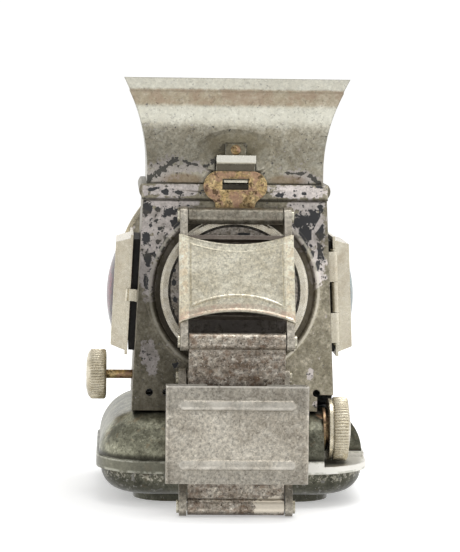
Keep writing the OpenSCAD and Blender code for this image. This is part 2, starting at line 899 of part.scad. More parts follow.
module link_spring() {
    turns = 36;
    pitch = spring_wire_r * 1.9;
    color([0.30, 0.29, 0.28]) translate([0, -pivot_y, pivot_z]) rotate([0, 90, 0])
        for (i = [0:turns - 1]) translate([0, 0, (i - turns / 2 + 0.5) * pitch])
            rotate_extrude($fn = 48) translate([spring_r, 0]) circle(spring_wire_r, $fn = 16);
}

module lower_link() {
    color([0.58, 0.56, 0.49]) in_link(low_y, low_z) union() {
        cheeks();
        box([-cheek_in - 0.5, -33, -cheek_r], [cheek_in + 0.5, -7, -cheek_r + 0.8]);
    }
}

module lower_pins() {
    color([0.70, 0.68, 0.60]) link_pins(low_y, low_z);
}

module socket_strip() {
    color([0.68, 0.65, 0.58]) in_strip() difference() {
        union() {
            rod(tube_r, -strip_half, strip_half);
            translate([0, -pivot_span, 0]) rod(tube_r, -strip_half, strip_half);
            box([-strip_half, -pivot_span, -0.4], [strip_half, 0, 0.4]);
            for (m = [0, 1]) mirror([m, 0, 0])
                box([strip_half - 0.6, -pivot_span + 6, -1.6], [strip_half, -6, 0]);
        }
        rod(pin_r + run_fit, -20, 20);
        translate([0, -pivot_span, 0]) rod(pin_r + gap, -20, 20);
    }
}

module socket_channel() {
    low = socket_top - socket_h;
    mid = (socket_top + low) / 2;
    color([0.67, 0.64, 0.57]) in_strip() union() {
        box([-socket_half + 1, low, socket_in], [socket_half - 1, socket_top, socket_out]);
        for (m = [0, 1]) mirror([m, 0, 0]) {
            box([socket_half - sheet_t, low, 0.42], [socket_half, socket_top, socket_out - 1]);
            box([9.5, low, 0.42], [socket_half - 0.1, socket_top, 1.05]);
            translate([socket_half - 1, low, socket_out - 1]) rotate([-90, 0, 0]) intersection() {
                difference() {
                    cylinder(r = 1, h = socket_h, $fn = 40);
                    translate([0, 0, -1]) cylinder(r = 0.2, h = socket_h + 2, $fn = 24);
                }
                translate([-eps, -2, -1]) cube([3, 2 + eps, socket_h + 2]);
            }
        }
        for (y = [socket_top - 6.2, low + 6]) intersection() {
            translate([0, y, socket_out - 1.2]) rod(2.1, -18.7, 18.7);
            box([-18.7, y - 4, socket_in + 0.1], [18.7, y + 4, socket_out + 1]);
        }
    }
}

module socket_rivets() {
    color([0.60, 0.57, 0.50]) in_strip()
        for (x = [-11.8, 11.8], y = [socket_top - 6, socket_top - socket_h + 6])
            translate([x, y, 1.07]) intersection() {
                translate([0, 0, -1.1]) sphere(r = 1.8, $fn = 40);
                cylinder(r = 1.5, h = 2, $fn = 40);
            }
}

font_foot();
font_lower_shell();
font_band();
font_upper_shell();
burner_collar();
burner_body();
raiser_shaft();
wick_knob();
wick();
filler_neck();
cap_washer();
filler_cap();
rear_wall();
right_wall();
left_wall();
front_wall();
body_floor();
body_collar();
lens_drum();
lens_gasket();
front_lens();
front_bezel();
reflector();
rear_disc();
rear_ring();
window_seats();
door_leaves();
door_catches();
right_pin();
left_pin();
right_frame();
left_frame();
right_jewel();
left_jewel();
right_jewel_ring();
left_jewel_ring();
hood_crown();
hood_floor();
hood_chimney();
hood_baffle();
hood_leaf();
collar_leaf();
hood_pin();
hasp_plate();
catch_base();
catch_spring();
catch_rivet();
upper_bearing();
lower_bearing();
upper_link();
link_cover();
upper_pins();
link_spring();
lower_link();
lower_pins();
socket_strip();
socket_channel();
socket_rivets();
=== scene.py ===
"""Kerosene cycle lamp: surfaces, pressed-sheet pieces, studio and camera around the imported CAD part."""

import json
import math

import bpy
from mathutils import Matrix, Vector


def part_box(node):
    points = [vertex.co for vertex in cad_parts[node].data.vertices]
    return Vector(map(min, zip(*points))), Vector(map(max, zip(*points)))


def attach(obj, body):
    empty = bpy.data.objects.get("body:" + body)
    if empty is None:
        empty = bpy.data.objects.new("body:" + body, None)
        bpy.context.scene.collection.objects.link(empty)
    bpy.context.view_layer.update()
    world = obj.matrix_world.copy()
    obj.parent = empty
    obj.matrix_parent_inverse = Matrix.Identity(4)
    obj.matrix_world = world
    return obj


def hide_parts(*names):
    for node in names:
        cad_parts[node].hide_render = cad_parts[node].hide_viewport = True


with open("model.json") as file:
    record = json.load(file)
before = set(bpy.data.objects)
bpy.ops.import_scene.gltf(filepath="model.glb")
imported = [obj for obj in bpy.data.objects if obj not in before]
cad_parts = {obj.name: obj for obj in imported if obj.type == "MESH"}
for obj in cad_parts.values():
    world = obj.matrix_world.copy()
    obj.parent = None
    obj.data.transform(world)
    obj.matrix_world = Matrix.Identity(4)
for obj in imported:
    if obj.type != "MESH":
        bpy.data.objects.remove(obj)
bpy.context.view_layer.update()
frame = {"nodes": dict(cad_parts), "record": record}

MM = 0.001
NODES = frame["nodes"]
JOINT = {j["name"]: j for j in frame["record"]["behaviour"]["joints"]}


# ---------------------------------------------------------------- places taken from the frame

def joint_place(name):
    return Vector(JOINT[name]["pos_m"]) / MM


def tilted_frame(origin, toward):
    """Frame at origin with x along the lamp's x, y pointing back from toward, z away from the lamp."""
    y_axis = (origin - toward).normalized()
    z_axis = Vector((1, 0, 0)).cross(y_axis)
    turn = Matrix((Vector((1, 0, 0)), y_axis, z_axis)).transposed().to_4x4()
    return Matrix.Translation(origin) @ turn


TOP_FIXED = joint_place("upper_pivot")
TOP_FREE = joint_place("socket_pivot")
LOW_FIXED = joint_place("lower_pivot")
IN_LINK = tilted_frame(TOP_FIXED, TOP_FREE)
IN_STRIP = Matrix.Translation(TOP_FREE) @ tilted_frame(TOP_FIXED, LOW_FIXED).to_3x3().to_4x4()
LIGHT_Z = 69.8


# ---------------------------------------------------------------- mesh helpers

def make_piece(name, points, faces, body, slot, replaced, smooth=True):
    """A mesh piece from points in millimetres, riding on a body in place of CAD nodes."""
    mesh = bpy.data.meshes.new(name)
    mesh.from_pydata([Vector(p) * MM for p in points], [], faces)
    mesh.polygons.foreach_set("use_smooth", [smooth] * len(mesh.polygons))
    mesh.validate()
    piece = bpy.data.objects.new(name, mesh)
    bpy.context.scene.collection.objects.link(piece)
    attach(piece, body)
    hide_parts(*replaced)
    return piece


def sharpen(piece, degrees=40):
    piece.data.set_sharp_from_angle(angle=math.radians(degrees))


def grid_faces(rows, columns, close_columns=False):
    faces = []
    for i in range(rows - 1):
        for j in range(columns if close_columns else columns - 1):
            beside = (j + 1) % columns
            faces.append((i * columns + j, i * columns + beside,
                          (i + 1) * columns + beside, (i + 1) * columns + j))
    return faces


def smoothstep(value, low, high):
    s = min(1.0, max(0.0, (value - low) / (high - low)))
    return s * s * (3 - 2 * s)


def spread(stops, steps):
    """Stations through a list of stops, steps of them in each gap."""
    out = [stops[0]]
    for a, b in zip(stops, stops[1:]):
        out += [a + (b - a) * k / steps for k in range(1, steps + 1)]
    return out


def shell_piece(name, place, xs, rows, front, thickness, **how):
    """A pressed sheet: front(x, row) gives a local point and its outward direction."""
    points = []
    for side in (0, 1):
        for row in rows:
            for x in xs:
                at, out = front(x, row)
                points.append(place @ (at - out * thickness * side))
    count = len(rows) * len(xs)
    faces = grid_faces(len(rows), len(xs))
    faces += [tuple(reversed([k + count for k in f])) for f in grid_faces(len(rows), len(xs))]
    last = (len(rows) - 1) * len(xs)
    for j in range(len(xs) - 1):
        faces.append((j + 1, j, count + j, count + j + 1))
        faces.append((last + j, last + j + 1, count + last + j + 1, count + last + j))
    for i in range(len(rows) - 1):
        a = i * len(xs)
        b = a + len(xs)
        faces.append((a, b, count + b, count + a))
        a += len(xs) - 1
        b += len(xs) - 1
        faces.append((b, a, count + a, count + b))
    piece = make_piece(name, points, faces, **how)
    sharpen(piece)
    return piece


# ---------------------------------------------------------------- pressed-sheet pieces

COVER_HALF = 18.55
COVER_FACE = 3.1
COVER_SHEET = 0.62
PANEL_HALF = 14.8

# Heights of the cover's curved edges along the link: at the corners, then on the centre line.
COVER_TOP = (-8.25, -12.1)
COVER_LOW = (-40.0, -36.15)
PANEL_TOP = (-10.5, -15.0)
PANEL_LOW = (-37.0, -31.1)


def hollow(x, corner, middle):
    """Concave end of the cover: corner height at the sides, middle height at the centre."""
    return middle + (corner - middle) * (x / COVER_HALF) ** 2


def ridge(distance, width):
    """A rounded ridge, one high on its crest."""
    return math.exp(-(distance / width) ** 2)


def make_cover():
    """The bright link cover: a plate with rolled concave ends and a raised panel."""
    def front(x, row):
        top = hollow(x, *COVER_TOP)
        low = hollow(x, *COVER_LOW)
        panel_top = hollow(x, *PANEL_TOP)
        panel_low = hollow(x, *PANEL_LOW)
        stations = {0: top, 1: panel_top, 2: panel_low, 3: low}
        k = min(2, int(row))
        y = stations[k] + (stations[k + 1] - stations[k]) * (row - k)
        inside = min(panel_top - y, y - panel_low, PANEL_HALF - abs(x))
        raised = 0.75 * smoothstep(inside, -0.35, 0.25)
        rim = 0.16 * ridge(inside - 0.35, 0.28)
        rolled = 0.34 * (ridge(top - y - 0.45, 0.4) + ridge(y - low - 0.45, 0.4))
        side = smoothstep(abs(x), COVER_HALF - 0.9, COVER_HALF)
        z = COVER_FACE + COVER_SHEET + raised + rim + rolled - 0.55 * side
        return Vector((x, y, z)), Vector((0, 0, 1))
    xs = spread([-COVER_HALF, -17.6, -15.4, -14.2, 0, 14.2, 15.4, 17.6, COVER_HALF], 10)
    rows = spread([0, 0.35, 0.8, 1.0, 1.06, 1.94, 2.0, 2.2, 2.65, 3], 9)
    return shell_piece("cover_plate", IN_LINK, xs, rows, front, COVER_SHEET, body="upper_arm",
                       slot="nickel", replaced=["link_cover"])


BOX_FACES = [(0, 1, 3, 2), (4, 6, 7, 5), (0, 4, 5, 1), (2, 3, 7, 6), (0, 2, 6, 4), (1, 5, 7, 3)]


def strip_pair(name, place, near, far, ys, zs, body, slot):
    """Two flat boxes either side of the middle, each from near to far along x."""
    points = []
    faces = []
    for side in (-1, 1):
        start = len(points)
        points += [place @ Vector((x, y, z)) for x in (side * near, side * far) for y in ys for z in zs]
        faces += [tuple(start + k for k in f) for f in BOX_FACES]
    return make_piece(name, points, faces, body, slot, [], smooth=False)


def make_cover_flanges():
    """The cover's two sides, folded back over the link."""
    return strip_pair("cover_flanges", IN_LINK, COVER_HALF - 0.02, COVER_HALF - 0.42, (-39.2, -8.9),
                      (-2.6, COVER_FACE + 0.2), "upper_arm", "nickel")


SOCKET_HALF = 22.6
SOCKET_OUT = 8.0
SOCKET_TOP = -13.6
SOCKET_LOW = -44.6
BEND = 1.3
RIB_HALF = 18.7
RIB_ROWS = (SOCKET_TOP - 6.2, SOCKET_LOW + 6)


def channel_path():
    """Outline of the socket plate seen from above: return flange, wall, bend, front, and back again."""
    half = []
    steps = 6
    for k in range(5):
        half.append((SOCKET_HALF, 0.5 + (SOCKET_OUT - BEND - 0.5) * k / 5, 1, 0))
    for k in range(steps + 1):
        turn = math.pi / 2 * k / steps
        half.append((SOCKET_HALF - BEND + BEND * math.cos(turn), SOCKET_OUT - BEND + BEND * math.sin(turn),
                     math.cos(turn), math.sin(turn)))
    columns = 110
    reach = SOCKET_HALF - BEND
    for k in range(1, columns):
        half.append((reach - 2 * reach * k / columns, SOCKET_OUT, 0, 1))
    return half + [(-x, z, -nx, nz) for x, z, nx, nz in reversed(half[:5 + steps + 1])]


def rib_height(x, y):
    best = 0.0
    for row in RIB_ROWS:
        along = max(0.0, abs(x) - (RIB_HALF - 1.7))
        away = math.hypot(along, y - row) / 1.75
        if away < 1:
            best = max(best, 0.88 * (1 - away * away) ** 0.7)
    return best


def make_socket_plate():
    path = channel_path()
    upper_rib, lower_rib = RIB_ROWS
    ys = spread([SOCKET_LOW, lower_rib - 2, lower_rib + 2, upper_rib - 2, upper_rib + 2, SOCKET_TOP], 16)

    def front(k, y):
        x, z, nx, nz = path[k]
        lift = rib_height(x, y) if nz > 0.99 else 0.0
        return Vector((x, y, z + lift)), Vector((nx, 0, nz))
    return shell_piece("socket_plate", IN_STRIP, list(range(len(path))), ys, front, 0.8, body="socket",
                       slot="bracket_plate", replaced=["socket_channel"])


def make_socket_returns():
    """The two flanges that fold in behind the socket plate and meet the strip."""
    return strip_pair("socket_returns", IN_STRIP, 9.5, SOCKET_HALF - 0.05, (SOCKET_LOW, SOCKET_TOP),
                      (0.42, 1.05), "socket", "bracket_plate")


def knurled_wheel(name, centre, direction, profile, teeth, depth, body, slot, replaced):
    """A turned wheel along x: profile rows are (radius, station, knurled or not)."""
    per_tooth = 6
    ring = teeth * per_tooth
    points = []
    for radius, station, cut in profile:
        for k in range(ring):
            wave = abs(math.sin(math.pi * k / per_tooth)) ** 0.8
            r = radius - (depth * (1 - wave) if cut else 0)
            turn = 2 * math.pi * k / ring
            points.append(centre + Vector((direction * station, r * math.cos(turn), r * math.sin(turn))))
    faces = grid_faces(len(profile), ring, close_columns=True)
    first = list(range(ring))
    last = [k + (len(profile) - 1) * ring for k in first]
    faces += [tuple(reversed(first)), tuple(last)]
    if direction < 0:
        faces = [tuple(reversed(f)) for f in faces]
    piece = make_piece(name, points, faces, body, slot, replaced)
    sharpen(piece, 50)
    return piece


def make_knob():
    low, high = (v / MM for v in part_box("wick_knob"))
    centre = Vector((high.x, (low.y + high.y) / 2, (low.z + high.z) / 2))
    r = (high.z - low.z) / 2
    width = high.x - low.x
    profile = [(1.55, 0, 0), (r - 1.6, 0, 0), (r - 0.5, 0.25, 0), (r - 0.12, 0.55, 1), (r, 0.9, 1),
               (r, width - 1.9, 1), (r - 0.12, width - 1.55, 1), (r - 0.55, width - 1.25, 0),
               (r - 1.0, width - 0.75, 0), (r - 2.0, width - 0.35, 0), (r - 2.9, width - 0.25, 0),
               (r - 3.1, width - 0.05, 0), (r - 3.6, width, 0), (0.6, width, 0)]
    return knurled_wheel("raiser_knob", centre, -1, profile, 54, 0.42, "raiser", "nickel", ["wick_knob"])


def make_cap():
    low, high = (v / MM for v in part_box("filler_cap"))
    centre = Vector((low.x, (low.y + high.y) / 2, (low.z + high.z) / 2))
    r = (high.z - low.z) / 2
    width = high.x - low.x
    profile = [(5.35, 5.9, 0), (5.35, 0, 0), (r - 0.5, 0, 0), (r - 0.2, 0.2, 0), (r - 0.2, 1.2, 0),
               (r - 0.75, 1.35, 0), (r - 0.75, 1.55, 0), (r - 0.15, 1.75, 1), (r, 2.0, 1),
               (r, width - 1.6, 1), (r - 0.15, width - 1.35, 1), (r - 0.6, width - 1.15, 0)]
    dome = 36.0
    for k in range(9):
        rk = (r - 2.4) * (1 - k / 8)
        profile.append((max(rk, 0.3), width - dome + math.sqrt(dome * dome - rk * rk) - 0.02, 0))
    return knurled_wheel("cap_turning", centre, 1, profile, 64, 0.45, "cap", "nickel", ["filler_cap"])


# ---------------------------------------------------------------- material helper

def colour(r, g, b, gain=1.0):
    """An sRGB colour, 0-255, as linear RGBA."""
    linear = [((c / 255 + 0.055) / 1.055) ** 2.4 if c > 10 else c / 255 / 12.92 for c in (r, g, b)]
    return tuple(min(1.0, c * gain) for c in linear) + (1.0,)


# Millimetres: reach of the worn and lit edges, reach of the dirt and painted shade in corners, height of
# the fine relief.
EDGE_REACH = 0.45
CREVICE_REACH = 3.5
FINE_RELIEF = 0.06

DIRT_AND_SHADE_STRENGTH = 0.62
WEAR_AND_HIGHLIGHT_STRENGTH = 0.75


class Tree:
    """Builds one material's nodes. Distances are millimetres in the part's own frame."""

    def __init__(self, name):
        self.material = bpy.data.materials.new(name)
        self.material.use_nodes = True
        self.nodes = self.material.node_tree.nodes
        self.links = self.material.node_tree.links
        self.nodes.clear()
        place = self.node("ShaderNodeTexCoord")
        scale = self.node("ShaderNodeVectorMath", operation="SCALE")
        self.links.new(place.outputs["Object"], scale.inputs[0])
        scale.inputs["Scale"].default_value = 1 / MM
        self.at = scale.outputs[0]
        split = self.node("ShaderNodeSeparateXYZ")
        self.links.new(self.at, split.inputs[0])
        self.x, self.y, self.z = split.outputs
        self.seed = 0.0
        self.shader = self.node("ShaderNodeBsdfPrincipled")
        out = self.node("ShaderNodeOutputMaterial")
        self.links.new(self.shader.outputs[0], out.inputs["Surface"])

    def node(self, kind, **settings):
        made = self.nodes.new(kind)
        for key, value in settings.items():
            setattr(made, key, value)
        return made

    def put(self, socket, value):
        if isinstance(value, bpy.types.NodeSocket):
            self.links.new(value, socket)
        else:
            socket.default_value = value

    def math(self, operation, a, b=0.0):
        made = self.node("ShaderNodeMath", operation=operation)
        self.put(made.inputs[0], a)
        self.put(made.inputs[1], b)
        return made.outputs[0]

    def add(self, *values):
        total = values[0]
        for v in values[1:]:
            total = self.math("ADD", total, v)
        return total

    def times(self, a, b):
        return self.math("MULTIPLY", a, b)

    def top(self, a, b):
        return self.math("MAXIMUM", a, b)

    def flip(self, a):
        return self.math("SUBTRACT", 1.0, a)

    def noise(self, per_mm, detail, roughness=0.55, warp=0.0, at=None):
        self.seed += 7.31
        made = self.node("ShaderNodeTexNoise", noise_dimensions="4D")
        self.links.new(at or self.at, made.inputs["Vector"])
        made.inputs["W"].default_value = self.seed
        made.inputs["Scale"].default_value = per_mm
        made.inputs["Detail"].default_value = detail
        made.inputs["Roughness"].default_value = roughness
        made.inputs["Distortion"].default_value = warp
        return made.outputs["Fac"]

    def stretched(self, sx, sy, sz):
        made = self.node("ShaderNodeVectorMath", operation="MULTIPLY")
        self.links.new(self.at, made.inputs[0])
        made.inputs[1].default_value = (sx, sy, sz)
        return made.outputs[0]

    def step(self, value, low, high):
        """Nought at low, one at high, smooth between."""
        made = self.node("ShaderNodeMapRange", interpolation_type="SMOOTHSTEP")
        self.put(made.inputs["Value"], value)
        made.inputs["From Min"].default_value = low
        made.inputs["From Max"].default_value = high
        return made.outputs[0]

    def band(self, value, fade_in, full, still_full, fade_out):
        """One from full to still_full, nought outside fade_in and fade_out."""
        return self.times(self.step(value, fade_in, full), self.step(value, fade_out, still_full))

    def mix(self, factor, a, b):
        made = self.node("ShaderNodeMix", data_type="RGBA")
        self.put(made.inputs[0], factor)
        self.put(made.inputs[6], a)
        self.put(made.inputs[7], b)
        return made.outputs[2]

    def tint(self, col, mask, strength, paint):
        """Lays paint over a colour where the mask is, at a strength."""
        return self.mix(self.times(mask, strength), col, paint)

    def shade(self, col, amount):
        """Multiplies a colour by a grey amount."""
        made = self.node("ShaderNodeVectorMath", operation="SCALE")
        self.put(made.inputs[0], col[:3] if isinstance(col, tuple) else col)
        self.put(made.inputs["Scale"], amount)
        return made.outputs[0]

    def along(self, place, axis=1):
        """Distance along one axis of a local frame."""
        shift = self.node("ShaderNodeVectorMath", operation="SUBTRACT")
        self.links.new(self.at, shift.inputs[0])
        shift.inputs[1].default_value = place.to_translation()
        dot = self.node("ShaderNodeVectorMath", operation="DOT_PRODUCT")
        self.links.new(shift.outputs[0], dot.inputs[0])
        dot.inputs[1].default_value = place.col[axis].to_3d()
        return dot.outputs["Value"]

    def spots(self, places):
        """One at the centre of each place, nought at its radius. A place is x, z, rx, rz and a turn."""
        total = None
        for x, z, rx, rz, *turn in places:
            made = self.node("ShaderNodeMapping", vector_type="TEXTURE")
            self.links.new(self.at, made.inputs["Vector"])
            made.inputs["Location"].default_value = (x, 0, z)
            made.inputs["Rotation"].default_value = (0, math.radians(-turn[0]) if turn else 0, 0)
            made.inputs["Scale"].default_value = (rx, 1e5, rz)
            ball = self.node("ShaderNodeTexGradient", gradient_type="SPHERICAL")
            self.links.new(made.outputs[0], ball.inputs[0])
            total = ball.outputs["Fac"] if total is None else self.top(total, ball.outputs["Fac"])
        return total

    def edges(self):
        """Near one on convex edges, nought on flats: where wear and painted edge highlight go."""
        bevel = self.node("ShaderNodeBevel", samples=4)
        bevel.inputs["Radius"].default_value = EDGE_REACH * MM
        plain = self.node("ShaderNodeNewGeometry")
        dot = self.node("ShaderNodeVectorMath", operation="DOT_PRODUCT")
        self.links.new(bevel.outputs[0], dot.inputs[0])
        self.links.new(plain.outputs["Normal"], dot.inputs[1])
        return self.step(dot.outputs["Value"], 0.995, 0.80)

    def crevices(self):
        """One in corners and narrow gaps, nought on open surfaces."""
        occlusion = self.node("ShaderNodeAmbientOcclusion")
        occlusion.samples = 6
        occlusion.inputs["Distance"].default_value = CREVICE_REACH * MM
        return self.step(occlusion.outputs["AO"], 0.74, 0.3)

    def bump(self, height, distance, rounding=0.22):
        bevel = self.node("ShaderNodeBevel", samples=4)
        bevel.inputs["Radius"].default_value = rounding * MM
        made = self.node("ShaderNodeBump")
        made.inputs["Strength"].default_value = 1.0
        made.inputs["Distance"].default_value = distance * MM
        self.put(made.inputs["Height"], height)
        self.links.new(bevel.outputs[0], made.inputs["Normal"])
        return made.outputs[0]

    def finish(self, base, roughness, metallic, normal=None, **constants):
        self.put(self.shader.inputs["Base Color"], base)
        self.put(self.shader.inputs["Roughness"], roughness)
        self.put(self.shader.inputs["Metallic"], metallic)
        if normal is not None:
            self.links.new(normal, self.shader.inputs["Normal"])
        for key, value in constants.items():
            self.shader.inputs[key.replace("_", " ")].default_value = value
        return self.material


def patina(t, light, base, dark, speckle):
    """Blotched, speckled old plate: returns its colour and a fine height."""
    blotch = t.noise(0.07, 4, 0.6, 0.3)
    patch = t.noise(0.35, 4, 0.6)
    grain = t.noise(0.95, 3, 0.7)
    fine = t.noise(2.0, 2, 0.6)
    col = t.mix(t.step(blotch, 0.36, 0.66), dark, base)
    col = t.tint(col, t.step(patch, 0.40, 0.78), 0.7, light)
    wobble = t.add(t.times(grain, 4.6 * speckle), t.times(fine, 3.0 * speckle), 1.0 - 3.8 * speckle)
    col = t.shade(col, t.math("MAXIMUM", wobble, 0.25))
    pits = t.step(t.noise(1.3, 3, 0.6), 0.60, 0.66)
    col = t.mix(t.times(pits, min(1.0, 1.3 * speckle)), col, t.shade(dark, 0.4))
    flecks = t.step(t.noise(1.1, 3, 0.6, 0.2), 0.60, 0.67)
    col = t.mix(t.times(flecks, min(1.0, 0.9 * speckle)), col, t.shade(light, 1.25))
    return col, t.add(t.times(grain, 0.6), t.times(fine, 0.4), t.times(pits, -0.6))


CHARCOAL = colour(52, 52, 54)
LILAC = colour(203, 195, 190)
PALE_CHIP = colour(226, 222, 214)


def flaked(t, col, height, bare_mask, black_mask, metal_tone):
    """Plate flaked to bare metal and then to charcoal, with a pale broken edge."""
    bare = t.shade(metal_tone, t.add(0.4, t.times(t.noise(1.3, 3, 0.65), 1.2)))
    col = t.mix(bare_mask, col, bare)
    broken_edge = t.times(t.times(black_mask, t.flip(black_mask)), 4.0)
    col = t.mix(black_mask, col, CHARCOAL)
    col = t.tint(col, broken_edge, 0.55, PALE_CHIP)
    height = t.add(height, t.times(bare_mask, -0.8), t.times(black_mask, -0.9))
    return col, height


def plate_material(name, light, base, dark, metallic, rough, speckle, edge_colour=None, bare=None, black=None,
                   relief=None, tone=None, rounding=0.22, chips=LILAC):
    """Old plate. bare and black give masks, tone a colour, relief a height in millimetres."""
    t = Tree(name)
    col, height = patina(t, light, base, dark, speckle)
    black_mask = 0.0
    if bare is not None:
        black_mask = black(t)
        col, height = flaked(t, col, height, bare(t), black_mask, chips)
    if tone is not None:
        col = tone(t, col)
    # Dirt and painted shade: corners and narrow gaps darkened.
    col = t.tint(col, t.crevices(), DIRT_AND_SHADE_STRENGTH, t.shade(dark, 0.22))
    # Wear and painted highlight: convex edges lightened in broken patches.
    worn_and_lit = t.times(t.edges(), t.step(t.noise(0.6, 3), 0.35, 0.6))
    col = t.tint(col, worn_and_lit, WEAR_AND_HIGHLIGHT_STRENGTH, edge_colour or light)
    roughness = t.add(rough - 0.12, t.times(t.noise(0.8, 3), 0.24))
    metal = metallic
    if bare is not None:
        roughness = t.add(roughness, t.times(black_mask, 0.12))
        metal = t.times(t.flip(t.times(black_mask, 0.85)), metallic)
    if relief is not None:
        height = t.add(height, t.times(relief(t), 1 / FINE_RELIEF))
    return t.finish(col, roughness, metal, t.bump(height, FINE_RELIEF, rounding))


WALL_LOW = 30.2
WALL_HALF = 33.35
WALL_SLOPE = 0.0455
HOOD_REAR = -27.4
RING_REACH = 40.0


def rear_only(t, mask):
    """Keeps a mask to the tilted rear wall and what stands on it."""
    out = t.add(t.times(t.y, -1.0), t.times(t.add(t.z, -WALL_LOW), WALL_SLOPE))
    return t.times(mask, t.step(out, WALL_HALF - 1.4, WALL_HALF - 0.9))


def hood_rear_only(t, mask):
    """Keeps a mask to the rear face of the hood."""
    return t.times(mask, t.step(t.y, HOOD_REAR, HOOD_REAR - 1))


def off_axis(t):
    """One on the lens axis, nought at RING_REACH from it."""
    return t.spots([(0, LIGHT_Z, RING_REACH, RING_REACH)])


def at_radius(r):
    """What off_axis gives at a radius."""
    return 1 - r / RING_REACH


def ragged(t, mask, low, high, per_mm, amount):
    """Breaks a soft mask into flakes."""
    broken = t.add(mask, t.times(t.add(t.noise(per_mm, 4, 0.62), -0.5), amount))
    return t.step(broken, low, high)


# ---------------------------------------------------------------- materials

def hood_material():
    light = colour(222, 219, 204)
    base = colour(196, 190, 172)
    dark = colour(168, 160, 140)
    flakes = [(-28.3, 106.5, 3.6, 1.8, 35), (-24.5, 108.7, 4.4, 1.9, 42), (-20.5, 111.8, 3.8, 1.2, 30),
              (-16.0, 111.8, 2.6, 0.9, -25), (-13.0, 110.8, 2.6, 0.7, -20), (-9.8, 110.5, 1.8, 0.8, 10),
              (-7.4, 112.2, 1.7, 1.7, 0), (-3.9, 116.8, 2.1, 1.6, 30), (3.3, 117.2, 1.5, 1.0, -50),
              (17.6, 108.5, 2.4, 0.8, 0), (21.5, 108.4, 2.8, 0.9, 0), (25.2, 107.3, 3.2, 1.3, -30),
              (27.0, 105.6, 2.0, 1.0, -30)]

    def bare(t):
        low = t.spots([(-25, 107.5, 12, 6, 30), (-14, 110, 8, 3, 0), (23, 107, 9, 3.5, -15)])
        return hood_rear_only(t, t.times(ragged(t, low, 0.3, 0.4, 0.8, 2.4), 0.85))

    def black(t):
        low = t.step(t.spots([(-24, 108, 13, 6, 15), (23, 107, 9, 3.5, -15)]), 0.1, 0.5)
        small = t.times(t.step(t.noise(0.8, 4, 0.65), 0.55, 0.61), low)
        marks = t.top(t.spots(flakes), t.times(small, 0.42))
        return hood_rear_only(t, ragged(t, marks, 0.33, 0.38, 0.8, 2.3))

    def tone(t, col):
        # Painted shade: the hood plate darkened over the latch.
        latch_shade = t.spots([(0, 117.5, 17, 7, 0)])
        col = t.tint(col, hood_rear_only(t, t.step(latch_shade, 0.0, 0.6)), 0.5, colour(120, 110, 80))
        low = t.step(t.z, 124.5, 114.0)
        col = t.tint(col, low, 0.15, colour(150, 143, 120))
        rust = t.spots([(-17, 106.0, 9, 2.6, 0), (17, 106.0, 8, 2.2, 0), (0, 107, 9, 3, 0)])
        col = t.tint(col, hood_rear_only(t, t.step(rust, 0.0, 0.5)), 0.5, colour(142, 112, 78))
        # Painted shade: the middle of the hood darker, and darker still on the left.
        middle = t.band(t.z, 107.0, 113.0, 122.0, 126.0)
        left = t.step(t.x, 4.0, -10.0)
        col = t.shade(col, t.add(1.0, t.times(middle, -0.2), t.times(t.times(middle, left), -0.18)))
        # Painted highlight: a light band across the top of the cove, strongest on the rear face.
        highlight_wobble = t.noise(1.0, 4, 0.6, at=t.stretched(0.05, 0.05, 0.5))
        at_rear = hood_rear_only(t, 1.0)
        high = t.times(t.step(t.add(t.z, t.times(highlight_wobble, 3.0)), 123.6, 128.0), t.step(t.z, 131.0, 129.2))
        col = t.mix(t.times(high, t.add(0.12, t.times(at_rear, 0.48))), col, colour(232, 232, 219))
        fold = t.add(t.z, t.times(t.noise(0.4, 3), 0.9), -0.45)
        fascia = t.band(fold, 129.9, 131.3, 135.2, 135.9)
        rosy = t.step(t.noise(0.3, 4, 0.65), 0.42, 0.6)
        fascia = t.times(fascia, t.add(0.4, t.times(at_rear, 0.6)))
        col = t.tint(col, fascia, 0.6, colour(174, 160, 136))
        col = t.tint(col, t.times(rosy, fascia), 0.45, colour(158, 132, 112))
        # Painted highlight: the flared lip above the fascia lighter.
        return t.tint(col, t.step(fold, 135.3, 136.2), 0.5, colour(236, 236, 224))

    def relief(t):
        arch = t.step(t.spots([(0, 114.6, 13.5, 8.2, 0)]), 0.0, 0.16)
        return hood_rear_only(t, t.times(arch, 0.7))
    return plate_material("hood_plate", light, base, dark, 0.85, 0.32, 0.34, bare=bare, black=black,
                          tone=tone, relief=relief, rounding=0.7)


